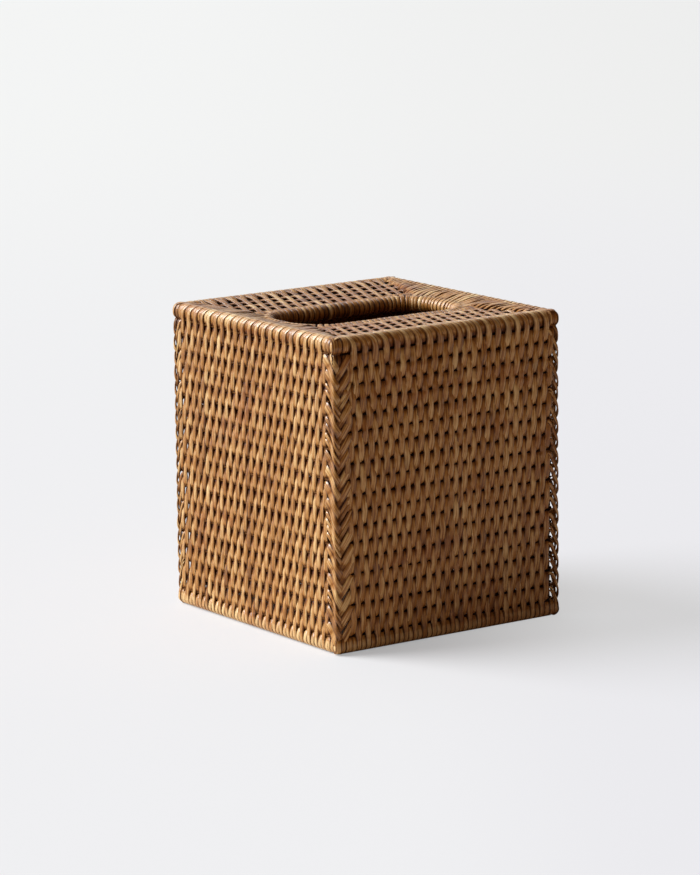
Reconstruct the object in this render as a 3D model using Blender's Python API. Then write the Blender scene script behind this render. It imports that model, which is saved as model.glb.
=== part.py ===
"""A woven rattan cover that stands over a cube of paper tissues.

Four flat mats make the walls. Each is woven from upright strands that pass over
one thin rod and under the next, and wrap round a thicker rod at the base and at
the top rim. The strands of the front and back mats run on across the top to the
wrapped ring of the opening, those of the side mats fan on to its round ends. A
herringbone plait laces each upright corner, and a few wraps cap its two ends.
The base is open, so the cover lifts off the tissues.

X runs along the opening, the front faces -Y, Z is up and the origin is the
middle of the base. All lengths are in metres.
"""

import math

import bmesh
import bpy
from mathutils import Matrix, Vector

# The whole cover, measured outside
cover_width = 0.1281
cover_depth = 0.1319
cover_height = 0.145
corner_radius = 0.0030

# The rods that carry the weave
base_rod_diameter = 0.0043
top_rod_diameter = 0.0055
ring_rod_diameter = 0.0055
thin_rod_diameter = 0.0014
thin_rod_pitch = 0.0072
lowest_rod_rise = 0.0013
highest_rod_drop = 0.0006

# The flat peel strands
strand_thickness = 0.0011
strand_pitch = 0.00285
face_recess = 0.00035

# The top panel and the ring of its opening
side_border = 0.0298
end_border = 0.0049
panel_drop_at_rim = 0.0030
panel_drop_at_ring = 0.0041
ring_drop = 0.00585
ring_corner_share = 0.79
border_rods = 4
first_border_rod_share = 0.2
ring_wrap_pitch = 0.0080

# The plait at each upright corner
plait_slope_share = 1.4

# Clearance between touching pieces, and the distance at which points merge
fit_gap = 0.0003
weld_distance = 0.00001

# How deep a strand looks sunk beside the one that passes over, and how deep ribs are cut
sink_share = 0.1
edge_height_share = 0.43
fan_rib_share = 0.32
wrap_rib_share = 0.45

# Faceting
octagon = 8
corner_steps = 4
ring_rod_points = 36
fan_steps = 2
spare_ribs = 2
flat_angle = 0.002

# Sizes worked out from those above
half_width = cover_width / 2
half_depth = cover_depth / 2
base_band = base_rod_diameter + 2 * strand_thickness
top_band = top_rod_diameter + 2 * strand_thickness
ring_band = ring_rod_diameter + 2 * strand_thickness
wrap_wall = strand_thickness - fit_gap
reach = thin_rod_diameter / 2 + strand_thickness
rim_line = reach + face_recess
corner_arm = top_band
mat_inset = top_band + fit_gap
ring_half_length = half_width - mat_inset - end_border - fit_gap - ring_band / 2
ring_half_width = half_depth - mat_inset - side_border - fit_gap - ring_band / 2
ring_corner = ring_half_width * ring_corner_share
ring_height = cover_height - ring_drop
facet_turn = math.pi / octagon
facet_stretch = 1 / math.cos(facet_turn)
turn_45 = math.pi / 4
turn_90 = math.pi / 2

# Base colour and roughness of each finish
finishes = {
    "peel_strand": ((0.40, 0.22, 0.09), 0.42),
    "peel_strand_dark": ((0.30, 0.16, 0.07), 0.45),
    "cane_rod": ((0.50, 0.34, 0.18), 0.60),
}


def clear_scene():
    """Remove every object that the scene starts with."""
    for thing in list(bpy.data.objects):
        bpy.data.objects.remove(thing, do_unlink=True)


def make_finish(name, piece_name):
    """A Principled material of one finish, made for one piece."""
    colour, roughness = finishes[name]
    finish = bpy.data.materials.new(f"{piece_name}_{name}")
    finish.use_nodes = True
    shader = finish.node_tree.nodes["Principled BSDF"]
    shader.inputs["Base Color"].default_value = (*colour, 1.0)
    shader.inputs["Roughness"].default_value = roughness
    shader.inputs["Metallic"].default_value = 0.0
    return finish


def add_piece(name, bm, finish, location=(0, 0, 0), turn=0.0):
    """Close a bmesh into a named object, placed and turned about Z."""
    bmesh.ops.remove_doubles(bm, verts=bm.verts[:], dist=weld_distance)
    bmesh.ops.dissolve_degenerate(bm, edges=bm.edges[:], dist=weld_distance)
    bmesh.ops.dissolve_limit(bm, angle_limit=flat_angle, verts=bm.verts[:], edges=bm.edges[:])
    bmesh.ops.recalc_face_normals(bm, faces=bm.faces[:])
    mesh = bpy.data.meshes.new(name)
    bm.to_mesh(mesh)
    bm.free()
    mesh.materials.append(make_finish(finish, name))
    piece = bpy.data.objects.new(name, mesh)
    piece.location = location
    piece.rotation_euler = (0, 0, turn)
    cover.objects.link(piece)
    return piece


def tagged_grid(columns, rows):
    """A unit grid whose vertices know their column and row."""
    bm = bmesh.new()
    bmesh.ops.create_grid(bm, x_segments=columns, y_segments=rows, size=1)
    column_tag = bm.verts.layers.int.new("column")
    row_tag = bm.verts.layers.int.new("row")
    for vert in bm.verts:
        vert[column_tag] = round((vert.co.x + 1) / 2 * columns)
        vert[row_tag] = round((vert.co.y + 1) / 2 * rows)
    return bm, column_tag, row_tag


def shell(columns, rows, outer, inner, sunk=None):
    """A closed shell: a grid laid on outer(column, row), thickened to inner(column, row).

    Where sunk(column, row) says that two corners of a quad are sunk, the quad is
    split between them, so that each raised corner stands as a separate bump.
    """
    bm, column_tag, row_tag = tagged_grid(columns, rows)
    if sunk:
        for face in bm.faces[:]:
            low = [vert for vert in face.verts if sunk(vert[column_tag], vert[row_tag])]
            if len(low) == 2 and not any(low[1] in edge.verts for edge in low[0].link_edges):
                bmesh.utils.face_split(face, low[0], low[1])
    first = bm.verts[:]
    added = bmesh.ops.extrude_face_region(bm, geom=bm.faces[:])["geom"]
    second = [part for part in added if isinstance(part, bmesh.types.BMVert)]
    for vert in first:
        vert.co = outer(vert[column_tag], vert[row_tag])
    for vert in second:
        vert.co = inner(vert[column_tag], vert[row_tag])
    return bm


def trim(bm, point, normal):
    """Cut a closed bmesh with a plane, drop what lies ahead of it and fill the cut."""
    everything = bm.verts[:] + bm.edges[:] + bm.faces[:]
    cut = bmesh.ops.bisect_plane(
        bm, geom=everything, dist=weld_distance, plane_co=point, plane_no=normal, clear_outer=True
    )
    rim = [part for part in cut["geom_cut"] if isinstance(part, bmesh.types.BMEdge)]
    bmesh.ops.holes_fill(bm, edges=rim, sides=0)


def strand_columns(width):
    """The even number of strands that fills a mat of this width."""
    return 2 * round(width / (2 * strand_pitch))


def rod_rows():
    """The heights of the thin rods in a wall, lowest first."""
    low = base_band + lowest_rod_rise
    high = cover_height - top_band - highest_rod_drop
    steps = round((high - low) / thin_rod_pitch)
    return [low + (high - low) * step / steps for step in range(steps + 1)]


def octagon_point(centre, radius, facets):
    """A corner of the octagon round a rod, counted in facets from outward, turning up."""
    angle = facet_turn * (2 * facets + 1)
    far = radius * facet_stretch
    return (centre[0] + far * math.cos(angle), centre[1] + far * math.sin(angle))


def wall_stations():
    """The run of a strand up a wall, as (outer, inner, woven) with points (out, up).

    Out is measured from the middle plane of the weave. The run starts on the
    inner side of the base rod, passes under it and up the wall, and ends behind
    the top rod.
    """
    base_centre = (rim_line - base_band / 2, base_band / 2)
    base_bore = base_rod_diameter / 2 + fit_gap
    top_centre = (rim_line - top_band / 2, cover_height - top_band / 2)
    top_bore = top_rod_diameter / 2 + fit_gap
    stations = []
    for facets in (3, 4, 5, 6, 7, 8):
        outer = octagon_point(base_centre, base_band / 2, facets)
        stations.append((outer, octagon_point(base_centre, base_bore, facets), False))
    stations.append(((rim_line, base_band), octagon_point(base_centre, base_bore, 1), False))
    for height in rod_rows():
        stations.append(((reach, height), (-reach, height), True))
    rim_foot = (rim_line, cover_height - top_band)
    stations.append((rim_foot, octagon_point(top_centre, top_bore, 6), False))
    for facets in (7, 8, 9, 10, 11):
        outer = octagon_point(top_centre, top_band / 2, facets)
        stations.append((outer, octagon_point(top_centre, top_bore, facets), False))
    return stations


def make_wall(name, width, distance, turn):
    """One woven wall mat, wrapped round its base rod and its top rod."""
    stations = wall_stations()
    columns = strand_columns(width)

    def across(column):
        return width * (column / columns - 1 / 2)

    def is_sunk(column, row):
        return stations[row][2] and (column + row) % 2 == 1

    def outer(column, row):
        (out, height), _, _ = stations[row]
        if is_sunk(column, row):
            out = -reach * sink_share
        return Vector((across(column), -out, height))

    def inner(column, row):
        _, (out, height), _ = stations[row]
        return Vector((across(column), -out, height))

    bm = shell(columns, len(stations) - 1, outer, inner, is_sunk)
    place = Matrix.Rotation(turn, 3, "Z") @ Vector((0, rim_line - distance, 0))
    add_piece(name, bm, "peel_strand", place, turn)


def ring_edge(across):
    """How far the ring's outer side lies from the middle plane along the opening."""
    straight = ring_half_length - ring_corner
    radius = ring_corner + ring_band / 2 + fit_gap
    past = max(abs(across) - straight, 0)
    return ring_half_width - ring_corner + math.sqrt(max(radius**2 - past**2, 0))


def ring_end_point(share):
    """A point beside the ring's end, from one mitre (share -1) to the other (share 1)."""
    straight = ring_half_width - ring_corner
    radius = ring_corner + ring_band / 2 + fit_gap
    run = (straight + radius * turn_45) * abs(share)
    angle = max(run - straight, 0) / radius
    along = ring_half_length - ring_corner + radius * math.cos(angle)
    aside = min(run, straight) + radius * math.sin(angle)
    return along, math.copysign(aside, share)


def mitre_planes():
    """The two mitre points of one corner of the top panel, in the +X, +Y quarter."""
    rim_point = Vector((half_width - mat_inset, half_depth - mat_inset, 0))
    ring_point = Vector((*ring_end_point(1), 0))
    return rim_point, ring_point


def make_border(name, turn):
    """The woven field between the rim and a long side of the ring, cut at its mitres."""
    width = cover_width - 2 * mat_inset
    columns = strand_columns(width)
    rim_side = half_depth - mat_inset
    ring_side = ring_half_width + ring_band / 2 + fit_gap
    shares = [0]
    for rod in range(border_rods):
        shares.append((rod + first_border_rod_share) / (border_rods - first_border_rod_share))
    shares.append(1)
    last = len(shares) - 1

    def is_sunk(column, row):
        return 0 < row < last and (column + row) % 2 == 1

    def plan(column, row):
        across = width * (column / columns - 1 / 2)
        end = ring_edge(across) if row == last else ring_side
        return across, -(rim_side + (end - rim_side) * shares[row])

    def middle(row):
        drop = panel_drop_at_rim + (panel_drop_at_ring - panel_drop_at_rim) * shares[row]
        return cover_height - drop

    def outer(column, row):
        rise = reach if 0 < row < last else reach * edge_height_share
        if is_sunk(column, row):
            rise = -reach * sink_share
        return Vector((*plan(column, row), middle(row) + rise))

    def inner(column, row):
        return Vector((*plan(column, row), middle(row) - reach))

    bm = shell(columns, last, outer, inner, is_sunk)
    rim_point, ring_point = mitre_planes()
    for side in (-1, 1):
        start = Vector((side * rim_point.x, -rim_point.y, 0))
        run = Vector((side * ring_point.x, -ring_point.y, 0)) - start
        normal = Vector((run.y, -run.x, 0)).normalized() * side
        trim(bm, start - normal * fit_gap / 2, normal)
    add_piece(name, bm, "peel_strand", (0, 0, 0), turn)


def make_fan(name, turn):
    """The strands of a side mat, fanned from the rim on to a round end of the ring."""
    columns = strand_columns(cover_depth - 2 * mat_inset)

    def plan(column, row):
        share = 2 * column / columns - 1
        rim = Vector((half_width - mat_inset, share * (half_depth - mat_inset)))
        return rim.lerp(Vector(ring_end_point(share)), row / fan_steps)

    def middle(row):
        drop = panel_drop_at_rim + (panel_drop_at_ring - panel_drop_at_rim) * row / fan_steps
        return cover_height - drop

    def outer(column, row):
        rise = reach * (edge_height_share - (column % 2) * fan_rib_share)
        return Vector((*plan(column, row), middle(row) + rise))

    def inner(column, row):
        return Vector((*plan(column, row), cover_height - panel_drop_at_ring - reach))

    bm = shell(columns, fan_steps, outer, inner)
    rim_point, ring_point = mitre_planes()
    for side in (-1, 1):
        start = Vector((rim_point.x, side * rim_point.y, 0))
        run = Vector((ring_point.x, side * ring_point.y, 0)) - start
        normal = Vector((-run.y, run.x, 0)).normalized() * -side
        trim(bm, start - normal * fit_gap / 2, normal)
    add_piece(name, bm, "peel_strand", (0, 0, 0), turn)


def ring_walk(share):
    """A point of the ring's centre line and its outward direction, once round at share 1."""
    long_run = 2 * (ring_half_length - ring_corner)
    short_run = 2 * (ring_half_width - ring_corner)
    arc = ring_corner * turn_90
    runs = (long_run, short_run, long_run, short_run)
    left = (share % 1) * (sum(runs) + 4 * arc)
    for side, run in enumerate(runs):
        turn = Matrix.Rotation(side * turn_90, 2)
        even = side % 2 == 0
        half_run = run / 2
        offset = ring_half_width if even else ring_half_length
        if left <= run:
            return turn @ Vector((left - half_run, -offset)), turn @ Vector((0, -1))
        left -= run
        if left <= arc:
            angle = left / ring_corner
            outward = Vector((math.sin(angle), -math.cos(angle)))
            centre = Vector((half_run, ring_corner - offset))
            return turn @ (centre + outward * ring_corner), turn @ outward
        left -= arc
    return Vector((-long_run / 2, -ring_half_width)), Vector((0, -1))


def ring_length():
    """The length of the ring's centre line."""
    straights = 4 * (ring_half_length - ring_corner + ring_half_width - ring_corner)
    return straights + 2 * math.pi * ring_corner


def make_ring():
    """The bent rod round the opening, and the ribbed wrap of strand ends that hides it."""
    path = bpy.data.curves.new("opening_ring_rod", "CURVE")
    path.dimensions = "3D"
    path.bevel_depth = ring_rod_diameter / 2
    path.bevel_resolution = 1
    path.resolution_u = 1
    spline = path.splines.new("POLY")
    spline.points.add(ring_rod_points - 1)
    spline.use_cyclic_u = True
    for index, point in enumerate(spline.points):
        place, _ = ring_walk(index / ring_rod_points)
        point.co = (*place, ring_height, 1)
    path.materials.append(make_finish("cane_rod", "opening_ring_rod"))
    rod = bpy.data.objects.new("opening_ring_rod", path)
    cover.objects.link(rod)

    ribs = round(ring_length() / ring_wrap_pitch)
    bore = ring_rod_diameter / 2 + fit_gap
    turns = [facet_turn * (2 * facets + 1) for facets in range(octagon)]
    profile = [(ring_band / 2 * facet_stretch, angle, True) for angle in turns[:-1]]
    profile += [(bore * facet_stretch, angle, False) for angle in reversed(turns[:-1])]
    bm, column_tag, row_tag = tagged_grid(len(profile), 2 * ribs)
    for vert in bm.verts:
        radius, angle, ribbed = profile[vert[column_tag] % len(profile)]
        if ribbed and vert[row_tag] % 2 == 1:
            radius -= wrap_wall * wrap_rib_share
        place, outward = ring_walk(vert[row_tag] / (2 * ribs))
        plan = place + outward * radius * math.cos(angle)
        vert.co = (*plan, ring_height + radius * math.sin(angle))
    add_piece("opening_ring_wrap", bm, "peel_strand_dark")


def make_rod(name, diameter, length, place, turn):
    """A straight cane rod with square ends."""
    bm = bmesh.new()
    bmesh.ops.create_cone(
        bm, cap_ends=True, segments=octagon, radius1=diameter / 2, radius2=diameter / 2,
        depth=length,
    )
    upright = Matrix.Rotation(facet_turn, 3, "Z")
    lying = Matrix.Rotation(turn_90, 3, "Y")
    bmesh.ops.rotate(bm, verts=bm.verts[:], cent=(0, 0, 0), matrix=lying @ upright)
    add_piece(name, bm, "cane_rod", place, turn)


def make_frame_rods(level, diameter, band, height):
    """Four rods of one rim: two long ones, and two that butt against them."""
    front = half_depth - band / 2
    side = half_width - band / 2
    long_rod = cover_width - 2 * (corner_radius + fit_gap)
    short_rod = 2 * (front - diameter / 2 - fit_gap)
    make_rod(f"{level}_rod_front", diameter, long_rod, (0, -front, height), 0)
    make_rod(f"{level}_rod_back", diameter, long_rod, (0, front, height), 0)
    make_rod(f"{level}_rod_left", diameter, short_rod, (-side, 0, height), turn_90)
    make_rod(f"{level}_rod_right", diameter, short_rod, (side, 0, height), turn_90)


def corner_plan(column, depth):
    """A point round a corner, this deep under the two faces that meet there."""
    last = corner_steps + 2
    if column == 0:
        return corner_arm, depth
    if column == last:
        return depth, corner_arm
    angle = turn_90 * (column - 1) / corner_steps
    radius = corner_radius - depth
    return corner_radius - radius * math.sin(angle), corner_radius - radius * math.cos(angle)


def corner_run(column):
    """The distance round a corner from its middle to a column."""
    arc = corner_radius * turn_45
    if column in (0, corner_steps + 2):
        return arc + corner_arm - corner_radius
    return arc * abs(2 * (column - 1) / corner_steps - 1)


def make_cap(name, stations, place, turn):
    """The wraps over one end of a corner, as one shell that covers the rod ends."""

    def outer(column, row):
        (out, height), _ = stations[row]
        return Vector((*corner_plan(column, rim_line - out), height))

    def inner(column, row):
        _, (out, height) = stations[row]
        return Vector((*corner_plan(column, rim_line - out), height))

    bm = shell(corner_steps + 2, len(stations) - 1, outer, inner)
    add_piece(name, bm, "peel_strand", place, turn)


def base_cap_stations():
    """The outer and inner run of a base cap, from under the plait to under the rod."""
    centre = (rim_line - base_band / 2, base_band / 2)
    bore = base_rod_diameter / 2 + fit_gap
    top = base_band - fit_gap
    end = rim_line - corner_radius + fit_gap
    return [
        ((rim_line, top), (rim_line - wrap_wall, top)),
        (octagon_point(centre, base_band / 2, 7), octagon_point(centre, bore, 7)),
        (octagon_point(centre, base_band / 2, 6), octagon_point(centre, bore, 6)),
        ((end, 0), (end, wrap_wall)),
    ]


def top_cap_stations():
    """The outer and inner run of a top cap, from over the rod to over the plait."""
    centre = (rim_line - top_band / 2, cover_height - top_band / 2)
    bore = top_rod_diameter / 2 + fit_gap
    foot = cover_height - top_band + 2 * fit_gap
    end = rim_line - corner_radius + fit_gap
    return [
        ((end, cover_height), (end, cover_height - wrap_wall)),
        (octagon_point(centre, top_band / 2, 1), octagon_point(centre, bore, 1)),
        (octagon_point(centre, top_band / 2, 0), octagon_point(centre, bore, 0)),
        ((rim_line, foot), (rim_line - wrap_wall, foot)),
    ]


def make_plait(name, place, turn):
    """The herringbone lacing of a corner: slanted ribs that meet in a row of Vs."""
    low = base_band
    high = cover_height - top_band + fit_gap
    slope = plait_slope_share
    fall = slope * corner_run(0)
    rib = thin_rod_pitch / 2
    rows = math.ceil((high - low + fall) / rib) + spare_ribs

    def height(column, row):
        return low - fall - rib + rib * row + slope * corner_run(column)

    def outer(column, row):
        depth = strand_thickness * (row % 2)
        return Vector((*corner_plan(column, depth), height(column, row)))

    def inner(column, row):
        return Vector((*corner_plan(column, 2 * strand_thickness), height(column, row)))

    bm = shell(corner_steps + 2, rows, outer, inner)
    trim(bm, (0, 0, low), (0, 0, -1))
    trim(bm, (0, 0, high), (0, 0, 1))
    add_piece(name, bm, "peel_strand", place, turn)


def make_corners():
    """The plait and the two caps of each upright corner."""
    corners = (
        ("front_left", -half_width, -half_depth),
        ("front_right", half_width, -half_depth),
        ("back_right", half_width, half_depth),
        ("back_left", -half_width, half_depth),
    )
    for step, (corner, x, y) in enumerate(corners):
        place = (x, y, 0)
        turn = step * turn_90
        make_plait(f"corner_plait_{corner}", place, turn)
        make_cap(f"base_corner_cap_{corner}", base_cap_stations(), place, turn)
        make_cap(f"top_corner_cap_{corner}", top_cap_stations(), place, turn)


clear_scene()
cover = bpy.data.collections.new("tissue_box_cover")
bpy.context.scene.collection.children.link(cover)

make_frame_rods("base", base_rod_diameter, base_band, base_band / 2)
make_frame_rods("top", top_rod_diameter, top_band, cover_height - top_band / 2)

front_mat = cover_width - 2 * mat_inset
side_mat = cover_depth - 2 * mat_inset
make_wall("front_wall_weave", front_mat, half_depth, 0)
make_wall("right_wall_weave", side_mat, half_width, turn_90)
make_wall("back_wall_weave", front_mat, half_depth, 2 * turn_90)
make_wall("left_wall_weave", side_mat, half_width, -turn_90)

make_border("front_top_weave", 0)
make_border("back_top_weave", 2 * turn_90)
make_fan("right_top_fan", 0)
make_fan("left_top_fan", 2 * turn_90)
make_ring()
make_corners()

print(len(cover.objects), "pieces, opening", 2 * ring_half_length - ring_band, "by",
      2 * ring_half_width - ring_band)
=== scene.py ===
# %% [markdown]
# # A woven rattan cover for a box of tissues
# The real cover is made of nothing but rattan. Thick canes make the rims, thin canes lie across
# the walls, and flat strips of the shiny outer peel are woven over and under them. This notebook
# starts from the plain solids of the cover and dresses them, one strip at a time.

import math
import random
from collections import namedtuple

import bmesh
import bpy
from mathutils import Matrix, Vector, noise


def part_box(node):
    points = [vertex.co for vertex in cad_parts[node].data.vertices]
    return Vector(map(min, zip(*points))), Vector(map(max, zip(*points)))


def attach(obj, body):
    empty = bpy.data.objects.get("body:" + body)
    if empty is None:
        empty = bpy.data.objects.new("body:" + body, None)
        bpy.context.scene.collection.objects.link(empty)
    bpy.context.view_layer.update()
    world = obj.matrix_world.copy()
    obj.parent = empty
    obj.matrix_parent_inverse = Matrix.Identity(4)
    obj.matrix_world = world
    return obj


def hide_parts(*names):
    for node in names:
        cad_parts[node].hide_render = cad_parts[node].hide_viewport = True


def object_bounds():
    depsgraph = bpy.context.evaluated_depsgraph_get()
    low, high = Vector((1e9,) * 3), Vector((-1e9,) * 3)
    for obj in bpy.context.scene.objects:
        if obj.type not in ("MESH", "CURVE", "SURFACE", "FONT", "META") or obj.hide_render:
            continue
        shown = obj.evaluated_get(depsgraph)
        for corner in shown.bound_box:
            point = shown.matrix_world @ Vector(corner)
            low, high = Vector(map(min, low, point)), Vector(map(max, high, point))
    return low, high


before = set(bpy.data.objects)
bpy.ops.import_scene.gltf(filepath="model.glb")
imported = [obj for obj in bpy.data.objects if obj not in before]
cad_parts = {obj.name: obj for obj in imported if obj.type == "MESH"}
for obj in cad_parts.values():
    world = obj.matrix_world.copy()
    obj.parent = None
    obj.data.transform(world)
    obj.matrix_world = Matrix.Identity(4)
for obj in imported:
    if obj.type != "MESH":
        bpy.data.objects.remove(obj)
cad_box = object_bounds()
print(len(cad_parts), "solids, from", [round(value, 4) for value in cad_box[0]],
      "to", [round(value, 4) for value in cad_box[1]])

# %% [markdown]
# ## The sizes that everything follows
# The outside of the cover, the canes of its rims and the ring of its opening are read from the
# solids, so the strips land on them. Only what the solids can't tell is typed here: how thick a
# strip of peel is, how thin the canes in the walls are, and where they lie.

# %% Read the sizes
mm = 0.001
half_width, half_depth, cover_height = cad_box[1]
peel = 0.95 * mm
thin_cane_radius = 0.55 * mm
pressed = 0.2 * mm
skin_clearance = 0.25 * mm
corner_radius = 1.8 * mm


def middle_of(node):
    """The middle of a solid's box."""
    low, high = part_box(node)
    return (low + high) / 2


base_wrap = middle_of("base_rod_front").z
top_wrap = cover_height - middle_of("top_rod_front").z
ring_low, ring_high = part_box("opening_ring_wrap")
ring_wrap = (ring_high.z - ring_low.z) / 2
ring_half_x = ring_high.x - ring_wrap
ring_half_y = ring_high.y - ring_wrap
ring_height = ring_high.z - ring_wrap
ring_corner = 0.79 * ring_half_y
lowest_cane = 7.8 * mm
highest_cane = 137.3 * mm
cane_count = 19
cane_pitch = (highest_cane - lowest_cane) / (cane_count - 1)
swing = thin_cane_radius + peel / 2 - pressed
weave_depth = skin_clearance + peel / 2 + swing
print("rims wrapped to", round(base_wrap, 5), "and", round(top_wrap, 5),
      "ring to", round(ring_wrap, 5))

# %% [markdown]
# ## The camera
# The photograph was taken with a long lens, from the left of the front and a little above. The
# distance, the angles and the lens were found by fitting the seven corners of the box that show.

# %% Place the camera
azimuth = math.radians(-35.334)
elevation = math.radians(11.21)
roll = math.radians(-0.6565)
camera_distance = 1.9125
aim = Vector((0, 0, 0.07))
aim_right = -0.0073
aim_up = 0.0121
focal_pixels = 4087.3
picture_height = 875

back = Vector((
    math.sin(azimuth) * math.cos(elevation),
    -math.cos(azimuth) * math.cos(elevation),
    math.sin(elevation),
))
level_right = Vector((math.cos(azimuth), math.sin(azimuth), 0))
level_up = back.cross(level_right)
right = level_right * math.cos(roll) + level_up * math.sin(roll)
up = level_up * math.cos(roll) - level_right * math.sin(roll)
eye = aim + back * camera_distance + right * aim_right + up * aim_up

camera_data = bpy.data.cameras.new("camera")
camera_data.sensor_fit = "VERTICAL"
camera_data.lens = camera_data.sensor_height * focal_pixels / picture_height


def add_object(name, data):
    """A new object in the scene."""
    made = bpy.data.objects.new(name, data)
    bpy.context.scene.collection.objects.link(made)
    return made


camera = add_object("camera", camera_data)
camera.matrix_world = Matrix.Translation(eye) @ Matrix((right, up, back)).transposed().to_4x4()
bpy.context.scene.camera = camera
print("lens", round(camera_data.lens, 1), "mm, eye", [round(value, 3) for value in eye])

# %% [markdown]
# ## Arithmetic on sockets
# Every finish below is a sum of noises and masks. Writing each sum as a Python expression keeps
# it readable: a wrapped socket answers to the plus, minus and times signs by adding a Math node.

# %% A socket that can be used in a sum


class Signal:
    """An output socket on which Python's arithmetic works."""

    def __init__(self, nodes, socket):
        self.nodes = nodes
        self.socket = socket

    def __add__(self, other):
        return self.nodes.math("ADD", self, other)

    def __sub__(self, other):
        return self.nodes.math("SUBTRACT", self, other)

    def __rsub__(self, other):
        return self.nodes.math("SUBTRACT", other, self)

    def __mul__(self, other):
        return self.nodes.math("MULTIPLY", self, other)

    __radd__ = __add__
    __rmul__ = __mul__


# %% [markdown]
# A finish is a material with one method that adds a node: it takes the node's type, then its
# settings, then what goes into its sockets, and says which output is wanted. The other methods
# only name common uses of it. A step runs smoothly from 0 to 1 between two values, a carried
# value is an attribute of the mesh, and a piece's own place is its object coordinates.

# %% A tree that nodes are added to


class Nodes:
    """The nodes of a material or of the world."""

    def __init__(self, tree):
        self.tree = tree

    def fill(self, node, sockets):
        for key, value in sockets.items():
            if isinstance(value, Signal):
                self.tree.links.new(value.socket, node.inputs[key])
            else:
                node.inputs[key].default_value = value

    def node(self, kind, settings, sockets, output=0):
        node = self.tree.nodes.new("ShaderNode" + kind)
        for key, value in settings.items():
            if key == "stops":
                while len(node.color_ramp.elements) < len(value):
                    node.color_ramp.elements.new(1.0)
                for stop, (place, colour) in zip(node.color_ramp.elements, value):
                    stop.position = place
                    stop.color = colour
            else:
                setattr(node, key, value)
        self.fill(node, sockets)
        return Signal(self, node.outputs[output])

    def math(self, operation, first, second=0.0):
        return self.node("Math", {"operation": operation}, {0: first, 1: second})

    def mix(self, share, first, second, blend="MIX"):
        settings = {"data_type": "RGBA", "blend_type": blend}
        return self.node("Mix", settings, {0: share, 6: first, 7: second}, 2)

    def step(self, value, low, high):
        sockets = {"Value": value, "From Min": low, "From Max": high}
        return self.node("MapRange", {"interpolation_type": "SMOOTHSTEP"}, sockets)

    def part(self, vector, axis):
        return self.node("SeparateXYZ", {}, {"Vector": vector}, axis)


class Finish(Nodes):
    """A material, and the nodes that feed its Principled shader."""

    def __init__(self, name):
        self.material = bpy.data.materials.new(name)
        self.material.use_nodes = True
        super().__init__(self.material.node_tree)
        self.shader = self.tree.nodes["Principled BSDF"]

    def carried(self, name, output=2):
        return self.node("Attribute", {"attribute_name": name}, {}, output)

    def own_place(self):
        return self.node("TexCoord", {}, {}, 3)

    def stretched_noise(self, place, scale, detail, stretch=(1, 1, 1)):
        vector = self.node("Mapping", {}, {"Vector": place, "Scale": stretch})
        sockets = {"Vector": vector, "Scale": scale, "Detail": detail, "Roughness": 0.6}
        return self.node("TexNoise", {}, sockets)

    def shade(self, sockets):
        self.fill(self.shader, sockets)
        return self.material


# %% [markdown]
# ## The finish of rattan peel
# Peel keeps the glossy skin of the vine on its outer side, streaked along its length, and shows
# its dull pith at the back. Stains darken it here and there. Its colour also holds painted light
# and shade: painted shade where it dips under the canes, along its edges and on its pith, which
# faces the dark inside, and painted light where it stands proud and on the rims. Each strip
# carries four attributes for this: its place before it was woven, a tone of its own, how far it
# stands proud of the weave, which sets that painted light and shade, and how near a point is to
# its edge. The streaks follow the strip because they are read from its place before weaving, not
# from its place in the wall.
# Only the broad patches are read from the wall, because smoke takes a whole wall at a time.

# %% Mix the peel finish
streak_grain = (750, 750, 30)
fibre_grain = (900, 900, 30)
blotch_grain = (150, 150, 95)
stain_grain = (60, 60, 34)
patch_grain = (38, 38, 95)
patch_tint = (0.70, 0.46, 0.30, 1)
recess_shade_tint = (0.24, 0.10, 0.025, 1)
edge_shade_tint = (0.24, 0.15, 0.08, 1)
pith_shade_colour = (0.17, 0.058, 0.008, 1)
pith_begins = 0.30 * mm
pith_is_full = -0.05 * mm


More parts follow.
